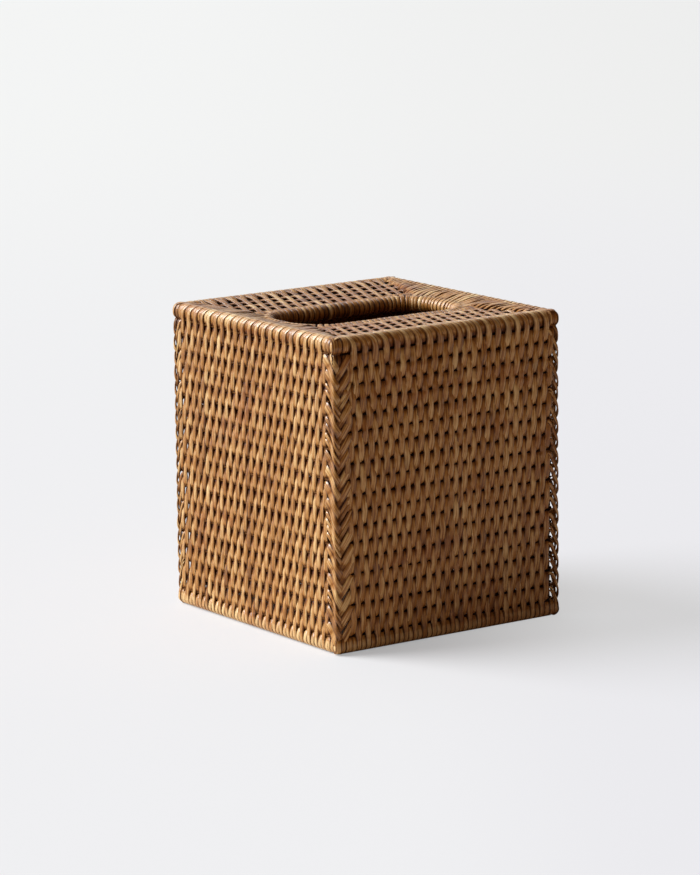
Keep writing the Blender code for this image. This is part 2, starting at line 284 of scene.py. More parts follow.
def peel_finish(name, dark, middle, light, gloss, shine):
    """Streaked peel between three colours, from stained to sunlit."""
    finish = Finish(name)
    place = finish.carried("straight", 1)
    tone = finish.carried("tone")
    proud = finish.carried("proud")
    edge = finish.carried("edge")
    streaks = finish.step(finish.stretched_noise(place, 2.0, 5.0, streak_grain), 0.36, 0.64)
    fibres = finish.stretched_noise(place, 9.0, 3.0, fibre_grain)
    blotches = finish.step(finish.stretched_noise(place, 1.0, 3.0, blotch_grain), 0.3, 0.7)
    # Painted light: the proud parts and the rims are lightened, and the rims get more gloss.
    rim = finish.step(proud, 0.95, 1.3)
    value = tone * 0.45 + blotches * 0.24 + streaks * 0.50 + proud * 0.10 + rim * 0.14 - 0.13
    stops = [(0.0, (*dark, 1)), (0.48, (*middle, 1)), (1.0, (*light, 1))]
    skin = finish.node("ValToRGB", {"stops": stops}, {"Fac": value})
    stained = finish.step(finish.stretched_noise(place, 1.0, 2.0, stain_grain), 0.56, 0.74)
    skin = finish.mix(stained * 0.55, skin, (*dark, 1))
    patches = finish.stretched_noise(finish.own_place(), 1.0, 3.0, patch_grain)
    skin = finish.mix(finish.step(patches, 0.50, 0.68) * 0.55, skin, patch_tint, "MULTIPLY")
    # Painted shade: the strip is darkened where it lies low, under the canes and inside.
    recess_shade = finish.step(proud, 0.2, -1.2)
    skin = finish.mix(recess_shade, skin, recess_shade_tint, "MULTIPLY")
    # Painted shade along the sides of each strip, where it meets its neighbours.
    edge_shade = finish.step(edge, 0.55, 0.98) * 0.88
    skin = finish.mix(edge_shade, skin, edge_shade_tint, "MULTIPLY")

    # The pith is dull, and its dark colour is painted shade for the inside of the cover.
    pith = finish.step(finish.part(place, 1), pith_begins, pith_is_full)
    colour = finish.mix(pith * 0.85, skin, pith_shade_colour)
    roughness = gloss + blotches * 0.22 + pith * 0.25
    height = fibres * 0.6 + streaks * 0.4
    sockets = {"Height": height, "Strength": 0.5, "Distance": 0.25 * mm}
    bump = finish.node("Bump", {}, sockets)
    coat = finish.step(proud, -0.3, 0.4) * (1 - pith) * (rim * 0.35 + shine)
    return finish.shade({
        "Base Color": colour, "Roughness": roughness, "Normal": bump, "Coat Weight": coat,
        "Coat Roughness": 0.16, "Coat IOR": 1.5, "Specular IOR Level": 0.3,
    })


peel_skin = peel_finish("rattan_peel", (0.10, 0.026, 0.002), (0.44, 0.184, 0.031),
                        (0.80, 0.56, 0.265), 0.34, 0.6)
plait_skin = peel_finish("plait_peel", (0.11, 0.029, 0.003), (0.45, 0.190, 0.034),
                         (0.80, 0.55, 0.24), 0.26, 1.0)
print("peel finishes", peel_skin.name, plait_skin.name)

# %% [markdown]
# ## The finish of cane
# The canes are the bare core of the same vine: paler, duller and full of fine pores that run
# along them. The big canes are solids that stay as they are, so their finish is read from object
# coordinates, stretched along the axis that the cane lies on. The thin canes are made below and
# carry the same attributes as the peel. They are darkened as painted shade, since they lie deep
# in the holes: a little on the left wall, where the light reaches them through the holes, and
# nearly to black on the others.

# %% Mix the cane finish
along_grain = 40
across_grain = 900
ring_grain = 200


def cane_finish(name, stretch, dark=(0.07, 0.03, 0.009), middle=(0.20, 0.10, 0.035),
                light=(0.40, 0.24, 0.11), gloss=0.3, attribute=None):
    """Bare cane, with its pores stretched along one axis."""
    finish = Finish(name)
    place = finish.carried(attribute, 1) if attribute else finish.own_place()
    pores = finish.stretched_noise(place, 2.0, 4.0, stretch)
    clouds = finish.stretched_noise(place, 60.0, 2.0)
    value = pores * 0.6 + clouds * 0.4
    stops = [(0.30, (*dark, 1)), (0.52, (*middle, 1)), (0.75, (*light, 1))]
    colour = finish.node("ValToRGB", {"stops": stops}, {"Fac": value})
    sockets = {"Height": pores, "Strength": 0.3, "Distance": 0.2 * mm}
    bump = finish.node("Bump", {}, sockets)
    return finish.shade({
        "Base Color": colour, "Roughness": 0.38 + clouds * 0.3, "Normal": bump,
        "Specular IOR Level": gloss,
    })


cane_along_x = cane_finish("cane_along_x", (along_grain, across_grain, across_grain))
cane_along_y = cane_finish("cane_along_y", (across_grain, along_grain, across_grain))
cane_round_ring = cane_finish("cane_round_ring", (ring_grain, ring_grain, across_grain))
run_grain = (across_grain, across_grain, along_grain)
# Painted shade: the thin canes are darker than the big ones, and the shaded copy nearly black.
thin_cane_skin = cane_finish("thin_cane", run_grain, (0.03, 0.009, 0.001),
                             (0.10, 0.036, 0.007), (0.28, 0.125, 0.035), 0.08, "straight")
shaded_cane_skin = cane_finish("shaded_thin_cane", run_grain, (0.006, 0.002, 0.0005),
                               (0.015, 0.005, 0.001), (0.05, 0.02, 0.006), 0.04, "straight")
print("cane finishes", cane_along_x.name, cane_along_y.name, cane_round_ring.name,
      thin_cane_skin.name, shaded_cane_skin.name)

# %% [markdown]
# ## A strip of peel, straight from the bundle
# Sweeping a section along a path can be done with a curve and a bevel object, but then the strip
# can't widen, roll or carry attributes. Here each strip starts as a short ten-sided cylinder that
# is cut into many rings, and every ring is then carried to its station of the route.

# %% Cut a straight blank
sides = 10
number_tags = ("tone", "proud", "edge")
blanks = {}


def straight_blank(stations):
    """A closed tube of unit size with this many rings, made once for each count."""
    if stations not in blanks:
        bm = bmesh.new()
        bmesh.ops.create_cone(
            bm, cap_ends=True, segments=sides, radius1=1, radius2=1, depth=1)
        upright = [e for e in bm.edges if abs(e.verts[0].co.z - e.verts[1].co.z) > 0.5]
        bmesh.ops.subdivide_edges(bm, edges=upright, cuts=stations - 2, use_grid_fill=True)
        ring = bm.verts.layers.int.new("ring")
        for vert in bm.verts:
            vert[ring] = round((vert.co.z + 0.5) * (stations - 1))
        bm.verts.layers.float_vector.new("straight")
        for tag in number_tags:
            bm.verts.layers.float.new(tag)
        blanks[stations] = bm
    return blanks[stations]


def peel_section(x, y):
    """The unit circle pressed into a strip: domed skin above, nearly flat pith below."""
    across = math.copysign(abs(x) ** 0.75, x)
    if y > 0:
        return across, y ** 0.85
    return across, -0.8 * abs(y) ** 0.35


def round_section(x, y):
    """The unit circle as it is, for a cane."""
    return x, y


print("a blank with six rings has", len(straight_blank(6).faces), "faces")

# %% [markdown]
# A route is a list of stops: a point, the direction that the skin faces there, the width of the
# strip as a share, and how proud it stands. A cubic curve runs through the points, with slopes
# that follow the spacing of the stops, so that it doesn't overshoot where they are close.

# %% Run a smooth route through its stops
Stop = namedtuple("Stop", "point facing width proud")
least_span = 0.01 * mm
steps_between = 2


def smooth_route(stops):
    """Stations along a route, a few for each stretch between two stops."""
    places = [0.0]
    for first, second in zip(stops, stops[1:]):
        places.append(places[-1] + max((second.point - first.point).length, least_span))
    slopes = []
    for index in range(len(stops)):
        before = max(index - 1, 0)
        after = min(index + 1, len(stops) - 1)
        rise = stops[after].point - stops[before].point
        slopes.append(rise / (places[after] - places[before]))
    route = []
    for index in range(len(stops) - 1):
        first, second = stops[index], stops[index + 1]
        span = places[index + 1] - places[index]
        for step in range(steps_between):
            t = step / steps_between
            ease = t * t * (3 - 2 * t)
            point = (first.point.lerp(second.point, ease)
                     + slopes[index] * (span * t * (1 - t) ** 2)
                     - slopes[index + 1] * (span * t * t * (1 - t)))
            facing = first.facing.lerp(second.facing, t)
            width = first.width + (second.width - first.width) * ease
            proud = first.proud + (second.proud - first.proud) * ease
            route.append(Stop(point, facing, width, proud))
    route.append(stops[-1])
    return route


straight_up = Vector((0, 0, 1))
elbow = [Stop(Vector(spot), straight_up, 1, 0) for spot in ((0, 0, 0), (1, 0, 0), (1, 1, 0))]
print("an elbow of three stops has", len(smooth_route(elbow)), "stations")

# %% [markdown]
# The stations of a route give a frame for each ring of the blank: along the route, across the
# strip, and out through its skin. Many strips go into one mesh, so that the strips of a wall are
# one piece, as they are on the cover.

# %% Lay strips into a mesh
streak_offset = 0.37
sharp_angle = math.radians(62)


def own_tone(draw, middle=0.5, spread=0.2):
    """A tone for one strip, most often near the middle."""
    return min(max(draw.gauss(middle, spread), 0), 1)


class Bundle:
    """Strips or canes of one piece, gathered in one bmesh."""

    def __init__(self, section, thickness):
        self.bm = bmesh.new()
        self.section = section
        self.half_thickness = thickness / 2
        self.carrier = bpy.data.meshes.new("carrier")
        self.laid = 0

    def lay(self, stops, width, tone, taper=0.7, bend=None):
        """Bend a blank along the stops, and then round a corner where one is given."""
        route = smooth_route(stops)
        bm = straight_blank(len(route)).copy()
        ring = bm.verts.layers.int["ring"]
        straight = bm.verts.layers.float_vector["straight"]
        tone_tag, proud_tag, edge_tag = [bm.verts.layers.float[tag] for tag in number_tags]
        frames = []
        run = 0.0
        last = len(route) - 1
        for index, stop in enumerate(route):
            before = route[max(index - 1, 0)].point
            after = route[min(index + 1, last)].point
            tangent = (after - before).normalized()
            side = stop.facing.cross(tangent).normalized()
            run += (stop.point - before).length
            near_end = min(index, last - index)
            share = stop.width * (1 - (1 - taper) * max(1 - near_end / 2, 0))
            frames.append((stop.point, side, tangent.cross(side), share, run, stop.proud))
        start = self.laid * streak_offset
        for vert in bm.verts:
            point, side, skin, share, run, proud = frames[vert[ring]]
            across, rise = self.section(vert.co.x, vert.co.y)
            vert[edge_tag] = abs(across)
            across *= width / 2 * share
            rise *= self.half_thickness
            vert.co = point + side * across + skin * rise
            if bend:
                vert.co = bend(vert.co)
            vert[straight] = (across, rise, start + run)
            vert[tone_tag] = tone
            vert[proud_tag] = proud
        bm.to_mesh(self.carrier)
        bm.free()
        self.bm.from_mesh(self.carrier)
        self.laid += 1

    def finish(self, name, material, slot, replaced=()):
        """Close the bundle into a piece that rides on the cover."""
        mesh = bpy.data.meshes.new(name)
        self.bm.to_mesh(mesh)
        self.bm.free()
        bpy.data.meshes.remove(self.carrier)
        mesh.shade_smooth()
        mesh.set_sharp_from_angle(angle=sharp_angle)
        mesh.materials.append(material)
        piece = add_object(name, mesh)
        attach(piece, "root")
        if replaced:
            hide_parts(*replaced)
        print(name, self.laid, "strips,", len(mesh.polygons), "faces")


# %% [markdown]
# ## The four walls
# All four walls are laid out like the front one and turned into place. In a wall's own terms a
# point is across the wall, deep under its outer face, and high above the table. No two walls of
# a handmade cover are alike: the span is where the strips begin and end at the base, splay is
# how much they spread towards the top on each side, lean is how far the wraps of the rim lean to
# a corner, slant turns each strip a little, snug is how far it fills its place, and sink is how
# deep it dips between the canes. The ends are where the plaits begin, and the mitres are where
# the corner seams of the top reach the rim.

# %% Describe a wall
Wall = namedtuple("Wall", "name turn distance span strips phase lean slant snug splay sink "
                  "ends ring_across ring_along mitres")
right_angle = math.pi / 2
front_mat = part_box("front_wall_weave")[1].x
side_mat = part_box("right_wall_weave")[1].y
mitre_x = 44.4 * mm
mitre_y = 21.4 * mm
plain_mitre = 55.5 * mm
front_right_mitre = 53.5 * mm
back_left_mitre = 50.0 * mm

walls = {
    "front": Wall(
        name="front", turn=0, distance=half_depth, span=(-55.0 * mm, 57.2 * mm), strips=43,
        phase=1, lean=-3.4 * mm, slant=0.8, snug=1.3, splay=(0.15, 0.07), sink=0.0,
        ends=(56.6 * mm, 59.4 * mm), ring_across=ring_half_x, ring_along=ring_half_y,
        mitres=(plain_mitre, front_right_mitre)),
    "right": Wall(
        name="right", turn=right_angle, distance=half_width, span=(-side_mat, side_mat),
        strips=42, phase=0, lean=2.0 * mm, slant=0.8, snug=1.5, splay=(0.05, 0.05), sink=0.15,
        ends=(59.5 * mm, 59.5 * mm), ring_across=ring_half_y, ring_along=ring_half_x,
        mitres=(front_right_mitre, plain_mitre)),
    "back": Wall(
        name="back", turn=2 * right_angle, distance=half_depth, span=(-front_mat, front_mat),
        strips=41, phase=0, lean=-2.0 * mm, slant=0.8, snug=1.5, splay=(0.05, 0.05), sink=0.15,
        ends=(57.6 * mm, 57.6 * mm), ring_across=ring_half_x, ring_along=ring_half_y,
        mitres=(plain_mitre, back_left_mitre)),
    "left": Wall(
        name="left", turn=-right_angle, distance=half_width, span=(-61.5 * mm, 58.6 * mm),
        strips=43, phase=1, lean=3.4 * mm, slant=0.6, snug=1.0, splay=(0.0, 0.0), sink=0.6,
        ends=(61.5 * mm, 59.5 * mm), ring_across=ring_half_y, ring_along=ring_half_x,
        mitres=(back_left_mitre, plain_mitre)),
}
print([(wall.name, wall.strips) for wall in walls.values()])


def in_wall(wall, across, deep, high):
    """A point in a wall's own terms."""
    return Vector((across, deep - wall.distance, high))


def round_cane(wall, across, centre_deep, centre_high, radius, degrees):
    """A point on a strip that wraps a cane, and its facing; 0 is outward and 90 is up."""
    angle = math.radians(degrees)
    point = in_wall(wall, across, centre_deep - radius * math.cos(angle),
                    centre_high + radius * math.sin(angle))
    return point, Vector((0, -math.cos(angle), math.sin(angle)))


# %% [markdown]
# The thin canes aren't quite evenly spaced, and none is quite level. Both follow a smooth noise,
# which is the same each time it is asked, so the strips and the canes agree on where they meet.

# %% Place the thin canes
uneven_spacing = 0.8 * mm
uneven_level = 0.14 * mm


def cane_height(wall, row):
    """The height of a thin cane in a wall."""
    uneven = noise.noise(Vector((row * 1.7, wall.turn * 5 + 0.3, 0.5)))
    return lowest_cane + cane_pitch * row + uneven_spacing * uneven


def sag(wall, row, across):
    """How far a thin cane strays from level, which its strips follow."""
    seed = 31 * row + 7 * math.degrees(wall.turn)
    return uneven_level * noise.noise(Vector((across * 18, seed, 0.5)))


print("the lowest canes lie at", [round(cane_height(wall, 0), 4) for wall in walls.values()])

# %% [markdown]
# ## The run of a strip up a wall
# A strip begins inside the wall, passes under the base cane and climbs the wall, over one thin
# cane and under the next. Its neighbour does the opposite. First come the helpers that say where
# across the wall a strip has got to, since the strips splay as they climb.

# %% Follow a strip across the wall
outward = Vector((0, -1, 0))
inward = Vector((0, 1, 0))
lean_fades = 15 * mm


def stretch(wall, across, high):
    """How much the strips of this side of a wall splay at this height."""
    side = wall.splay[0] if across < sum(wall.span) / 2 else wall.splay[1]
    return 1 + side * (high / cover_height) ** 2.2


def splayed(wall, across, high):
    """Where a strip has got to at this height."""
    middle = sum(wall.span) / 2
    return middle + (across - middle) * stretch(wall, across, high)


def stays(wall, spot):
    """Whether a strip here is clear of the plaited corners."""
    return -wall.ends[0] < spot < wall.ends[1]


def crest_across(wall, across):
    """Where a strip crosses the crest of the rim; its wrap leans towards a corner."""
    end = wall.span[0] if wall.lean < 0 else wall.span[1]
    lean = wall.lean * min(abs(end - across) / lean_fades, 1)
    return splayed(wall, across, cover_height) + lean


for wall in walls.values():
    print(wall.name, "strips cross the rim from",
          [round(crest_across(wall, spot), 4) for spot in wall.span])

# %% [markdown]
# Round the base cane the strip lies close and smooth. Its outer half is marked as very proud,
# so the finish lightens it there with painted light, as if lit from the table below.

# %% Stops under the base
base_clearance = 0.08 * mm
base_painted_light = 2.6
# A tucked part gets the deepest painted shade.
tucked = -1


def base_stops(wall, across):
    """The stops of one strip from its tail inside the wall, round the base cane."""
    radius = base_wrap - peel / 2 - base_clearance
    tail = in_wall(wall, across, base_wrap + 1.9 * mm, base_wrap + 4.1 * mm)
    stops = [Stop(tail, inward, 0.8, tucked)]
    # The outer half gets painted light, and the tail inside painted shade.
    for degrees in (150, 185, 220, 255, 290, 325, 360):
        point, facing = round_cane(wall, across, base_wrap, base_wrap, radius, degrees)
        stops.append(Stop(point, facing, 1.0, base_painted_light if degrees > 250 else 0.3))
    return stops


print("a strip makes", len(base_stops(walls["front"], 0)), "stops under the base")

# %% [markdown]
# At the top every strip comes out to wrap the rim cane. Those that come from behind the last
# thin cane make wide crowns there, and those that lie over it make narrow bars between them. A
# pair of values is for the start of the wrap and for its crest.

# %% Stops round the rim
crown_share = (1.05, 1.16)
bar_share = (1.10, 0.74)
crown_sunk = (0.95 * mm, 0.10 * mm)
bar_sunk = (0.06 * mm, 0.08 * mm)
crown_degrees = (-24, 5, 35, 65, 92)
bar_degrees = (8, 35, 65, 92)
# The rim's proud level paints light on the wraps and gives them more gloss.
rim_proud = 1.3


def rim_stops(wall, across, spot, wider, crown):
    """The stops of one strip from above the last thin cane to the crest of the rim."""
    shares = crown_share if crown else bar_share
    sunk = crown_sunk if crown else bar_sunk
    deepest = sunk[0] * (1 - 0.8 * wall.sink)
    if crown:
        above = 0.5 * mm if wall.snug > 1.3 else 1.3 * mm
        start = in_wall(wall, spot, (1.55 - 0.5 * wall.sink) * mm, highest_cane + above)
        stops = [Stop(start, outward, shares[0] * wider, -0.9)]
    else:
        start = in_wall(wall, spot, 0.6 * mm, highest_cane + 1.6 * mm)
        stops = [Stop(start, outward, shares[0] * wider, 0.8)]
    centre_high = cover_height - top_wrap
    lean = crest_across(wall, across) - spot
    first, last = crown_degrees[0], crown_degrees[-1]
    for degrees in crown_degrees if crown else bar_degrees:
        way = (degrees - first) / (last - first)
        radius = top_wrap - peel / 2 - deepest - (sunk[1] - deepest) * way
        share = shares[0] + (shares[1] - shares[0]) * way
        point, facing = round_cane(
            wall, spot + lean * way ** 1.3, top_wrap, centre_high, radius, degrees)
        # The wraps get painted light on the rim, and the low part of a crown painted shade.
        proud = rim_proud - (1.4 * (1 - way) if crown else 0)
        stops.append(Stop(point, facing, share * wider, proud))
    return stops


print("a crown makes", len(rim_stops(walls["front"], 0, 0, 1, True)), "stops at the rim")

# %% [markdown]
# Between the base and the rim a strip makes a stop at every thin cane, and three more on its way
# to the next. These are kept in a table, for a strip that leaves a cane from over it and for one
# that leaves it from behind: the share of the way, how far out it lies, how far it leans aside,
# how proud it looks, which sets its painted light and shade, and how much of a wall's sink it
# takes, which also darkens it with painted shade.

# %% Stops up the wall
leaving = {
    1: (
        (0.26, 0.80, -0.15, 0.8, 0.2),
        (0.55, 0.55, 0.0, 0.2, 0.8),
        (0.88, 0.15, 0.05, -0.6, 1.0),
    ),
    -1: (
        (0.11, 0.30, -0.9, -0.4, 0.1),
        (0.34, 0.65, -0.8, 0.4, 0.0),
        (0.68, 0.90, -0.3, 0.9, 0.0),
    ),
}
over_share = 1.08
under_share = 1.06
rising_share = 1.20
sinking_share = 1.08
stray_size = 0.28 * mm
behind_plait = 3.4 * mm


def wall_stops(wall, strip, across, draw):
    """The stops of one strip, from its tail inside the base to the crest of the rim."""
    drift = draw.uniform(0, 50)

    def astray(high):
        stray = stray_size * noise.noise(Vector((drift, high * 28, strip * 0.9)))
        return splayed(wall, across, high) + stray

    stops = base_stops(wall, across)
    for row in range(cane_count):
        high = cane_height(wall, row) + sag(wall, row, across)
        wider = stretch(wall, across, high)
        over = 1 if (strip + row + wall.phase) % 2 == 0 else -1
        if not stays(wall, astray(high)):
            point = in_wall(wall, astray(high), behind_plait, high)
            stops.append(Stop(point, outward, 0.8, tucked))
            return stops
        if row == 0:
            near = 1.3 * mm if over < 0 else 0.6 * mm
            point = in_wall(wall, across, near, (high + base_wrap) / 2 + 0.6 * mm)
            stops.append(Stop(point, outward, 1.0, 0.6))
        lift = over * swing + draw.uniform(-0.22, 0.0) * mm
        high += draw.uniform(-0.2, 0.2) * mm
        point = in_wall(wall, astray(high), weave_depth - lift, high)
        roll_out = Vector((draw.uniform(-0.24, 0.24), -1, draw.uniform(-0.05, 0.05)))
        share = over_share * wall.snug ** 0.5 if over > 0 else under_share * wall.snug
        # Over a cane the strip gets painted light, under one painted shade.
        stops.append(Stop(point, roll_out, share * wider, over))
        if row < cane_count - 1:
            for share, rise, aside, proud, sinks in leaving[over]:
                part_way = high + cane_pitch * share
                spot = astray(part_way) + aside * wall.slant * mm
                rise -= sinks * wall.sink
                point = in_wall(wall, spot, weave_depth - swing * rise, part_way)
                width = sinking_share * wall.snug if over > 0 else rising_share * wall.snug ** 0.5
                width *= draw.uniform(0.94, 1.06)
                stops.append(Stop(point, outward, width * wider, proud - sinks * wall.sink))
    crown = (strip + cane_count - 1 + wall.phase) % 2 == 1
    return stops + rim_stops(wall, across, astray(highest_cane), wider, crown)


sample = wall_stops(walls["front"], 0, 0, random.Random(0))
print("a strip makes", len(sample), "stops from its tail to the rim")

# %% [markdown]
# ## The woven fields of the top
# The strips of the front and back walls run on over four more thin canes to the long sides of
# the ring. Near the corners they end at the mitre, where the strips of the side walls pass below
# them. The field falls a little from the rim to the ring.

# %% Measure a woven field
field_canes = [9.57 * mm, 17.41 * mm, 25.25 * mm, 33.1 * mm]
field_start = 8.0 * mm
field_end = 38.0 * mm
field_high = 2.0 * mm
field_low = 3.1 * mm


def field_height(deep):
    """The middle height of the top's weave, this deep from the rim."""
    share = (deep - field_start) / (field_end - field_start)
    return cover_height - field_high - (field_low - field_high) * share


def mitre_depth(wall, across):
    """How deep the woven field reaches at this place across the wall."""
    start = wall.mitres[0] if across < 0 else wall.mitres[1]
    share = (start - abs(across)) / (start - mitre_x)
    return field_start + max(share, 0) * (half_depth - mitre_y - field_start)


print("beside the ring the front field reaches", round(mitre_depth(walls["front"], mitre_x), 4))

# %% [markdown]
# Both the woven strips and those of the fans end by wrapping the ring. On its long sides they
# cross it straight, and at its round ends they turn with it and crowd together on its inner
# side, so each gets narrower there.

# %% Stops round the ring
steepest_seat = 0.95
least_ring_share = 0.72


def ring_seat(wall, across):
    """Where a strip meets the ring: a point of its centre line, outward from it, its turn."""
    straight = wall.ring_across - ring_corner
    past = abs(across) - straight
    if past <= 0:
        return Vector((across, -wall.ring_along, ring_height)), Vector((0, -1, 0)), 0.0
    angle = math.asin(min(past / (ring_corner + ring_wrap), steepest_seat))
    side = math.copysign(1, across)
    away = Vector((side * math.sin(angle), -math.cos(angle), 0))
    hub = Vector((side * straight, ring_corner - wall.ring_along, ring_height))
    return hub + away * ring_corner, away, angle


def ring_stops(wall, across, draw, first=50):
    """The stops of a strip over the ring, down its inner side and under it."""
    seat, away, angle = ring_seat(wall, across)
    radius = ring_wrap - peel / 2 - draw.uniform(0, 0.2) * mm
    stops = []
    for degrees in (first, 90, 130, 165, 200, 235, 268):
        turned = math.radians(degrees)
        reach = radius * math.cos(turned)
        point = seat + away * reach + straight_up * (radius * math.sin(turned))
        facing = away * math.cos(turned) + straight_up * math.sin(turned)
        share = 1.0
        if angle > 0:
            spread = (ring_corner + reach) / (ring_corner + ring_wrap)
            share = max(spread / math.cos(angle) ** 0.8, least_ring_share)
        # The inner side and underside of the ring get painted shade.
        stops.append(Stop(point, facing, share, 0.4 if degrees < 170 else -0.3))
    tail = seat + away * (1.6 * mm) - straight_up * (radius + 0.2 * mm)
    stops.append(Stop(tail, -straight_up, 0.85, tucked))
    return stops


print("a strip makes", len(ring_stops(walls["front"], 0, random.Random(0))), "stops at the ring")

# %% [markdown]
# A woven strip of the top goes on in the order of its wall, over a cane and under the next. One
# that meets the mitre first bends down there and ends out of sight.

# %% Stops across a woven field
half_field_pitch = (field_canes[1] - field_canes[0]) / 2
lip_room = 5.5 * mm


def field_stops(wall, strip, across, draw):
    """The stops of one strip from the rim across the field."""
    deepest = mitre_depth(wall, across)
    reaches_ring = abs(across) < mitre_x + 1.5 * mm
    point, facing = round_cane(
        wall, across, top_wrap, cover_height - top_wrap, top_wrap - peel / 2, 122)
    stops = [Stop(point, facing, 1.0, 0.5)]
    for row, deep in enumerate(field_canes):
        if not reaches_ring and deep > deepest - 1.2 * mm:
            break
        over = 1 if (strip + cane_count + row + wall.phase) % 2 == 0 else -1
        lift = over * swing + draw.uniform(-0.1, 0.1) * mm
        middle = field_height(deep)
        roll_out = Vector((draw.uniform(-0.12, 0.12), 0, 1))
        stops.append(Stop(in_wall(wall, across, deep, middle + lift), roll_out, 1.0, over))
        half_way = deep + half_field_pitch
        if half_way < (field_end if reaches_ring else deepest - 0.6 * mm):
            point = in_wall(wall, across, half_way, field_height(half_way))
            stops.append(Stop(point, straight_up, 0.97, 0))
    if reaches_ring:
        seat, away, _ = ring_seat(wall, across)
        lip = seat + away * (ring_wrap + 1.2 * mm)
        if lip.y + wall.distance > field_canes[-1] + lip_room:
            lip.z = field_height(field_end) + 0.6 * mm
            stops.append(Stop(lip, straight_up, 1.0, 0))
        return stops + ring_stops(wall, across, draw)
    high = field_height(deepest)
    bent = in_wall(wall, across, deepest, high - 0.8 * mm)
    hidden = in_wall(wall, across, deepest + 1.4 * mm, high - 2.6 * mm)
    # The bent end and the hidden tail get painted shade.
    stops.append(Stop(bent, straight_up, 0.95, -0.6))
    stops.append(Stop(hidden, Vector((0, 0.6, 1)), 0.8, tucked))
    return stops


sample = field_stops(walls["front"], 0, 0, random.Random(0))
print("a strip makes", len(sample), "stops from the rim to its end under the ring")

# %% [markdown]
# ## The fans beside the opening
# The strips of the two side walls aren't woven on the top. They lie side by side, close in a
# little on their way, and those near the middle sweep over the round ends of the ring. The outer
# ones dive under the edge of the woven fields.

# %% Stops across a fan
fan_closing = 7.8
past_rim = 2 * mm
fan_dive = ((0.6, 2.7), (2.2, 4.2), (4.2, 5.2))


def fan_across(across, deep):
    """Where a fan strip has got to, across the wall."""
    return across * (1 - fan_closing * max(deep - field_start, 0))


def fan_mitre(wall, across):
    """How deep the fan is seen at this place across the wall."""
    start = half_width - (wall.mitres[0] if across < 0 else wall.mitres[1])
    end = half_width - mitre_x
    share = (side_mat - abs(across)) / (side_mat - mitre_y)
    return start + (end - start) * share


def fan_stops(wall, strip, across, draw):
    """The stops of one strip from the rim across the fan."""
    point, facing = round_cane(
        wall, across, top_wrap, cover_height - top_wrap, top_wrap - peel / 2, 120)
    stops = [Stop(point, facing, 1.0, 0.6)]
    uneven = draw.uniform(-0.35, 0.35) * mm
    landing = across
    for _ in range(4):
        seat, away, _ = ring_seat(wall, landing)
        edge = seat + away * ring_wrap
        landing = fan_across(across, edge.y + wall.distance)
    reaches_ring = abs(landing) < mitre_y
    if reaches_ring:
        lip = seat + away * (ring_wrap + 0.4 * mm)
        end = lip.y + wall.distance
        shares, drop, fall, width = (0.35, 0.7), 0.8 * mm, 1.3 * mm, 0.92
    else:
        end = fan_mitre(wall, across)
        shares, drop, fall, width = (0.4, 0.8), 0.9 * mm, 0.7 * mm, 0.95
    for share in shares:
        deep = top_wrap + past_rim + (end - top_wrap - past_rim) * share
        high = cover_height - drop - fall * share + uneven * share
        roll_out = Vector((draw.uniform(-0.25, 0.25), 0, 1))
        point = in_wall(wall, fan_across(across, deep), deep, high)
        stops.append(Stop(point, roll_out, width, 0.4))
    if reaches_ring:
        return stops + ring_stops(wall, landing, draw, 62)
    # Where a strip dives under the field it gets painted shade.
    for past, drop in fan_dive:
        deep = end + past * mm
        point = in_wall(wall, fan_across(across, deep), deep, cover_height - drop * mm)
        stops.append(Stop(point, straight_up, 0.95, -0.5))
    return stops


sample = fan_stops(walls["left"], 0, 0, random.Random(0))
print("a strip makes", len(sample), "stops from the rim over the round end of the ring")

# %% [markdown]
# ## Weave the walls
# With the stops in hand, weaving is a loop: some forty strips to a wall, each with its own width,
# tone and stray. The random draws are seeded by the wall, so every run gives the same cover.

# %% Lay every strip of the four walls


def weave(wall, seed, replaced):
    """All the strips of one wall and of its part of the top, as one piece."""
    draw = random.Random(seed)
    bundle = Bundle(peel_section, peel)
    place = Matrix.Rotation(wall.turn, 3, "Z")
    pitch = (wall.span[1] - wall.span[0]) / wall.strips
    across_top = field_stops if wall.ring_across > wall.ring_along else fan_stops
    for strip in range(wall.strips):
        across = wall.span[0] + pitch * (strip + 0.5)
        across += 0.7 * mm * noise.noise(Vector((strip * 0.17, seed, 0.3)))
        stops = wall_stops(wall, strip, across, draw)
        if stays(wall, splayed(wall, across, highest_cane)):
            stops += across_top(wall, strip, crest_across(wall, across), draw)
        turned = [stop._replace(point=place @ stop.point, facing=place @ stop.facing)
                  for stop in stops]
        width = pitch * draw.uniform(0.97, 1.03)
        bundle.lay(turned, width, own_tone(draw))
    bundle.finish(wall.name + "_strips", peel_skin, "wall_weave", replaced)


weave(walls["front"], 11, ["front_wall_weave", "front_top_weave", "opening_ring_wrap"])
weave(walls["left"], 12, ["left_wall_weave", "left_top_fan"])
weave(walls["back"], 13, ["back_wall_weave", "back_top_weave"])
weave(walls["right"], 14, ["right_wall_weave", "right_top_fan"])

# %% [markdown]
# ## The thin canes
# Nineteen thin canes cross each wall and four lie beside each long side of the opening. They show
# only as glints in the holes of the weave, and as cut ends at the corners.

# %% Lay the thin canes
past_mat = 2.3 * mm
shares = [step / 8 for step in range(-8, 9)]


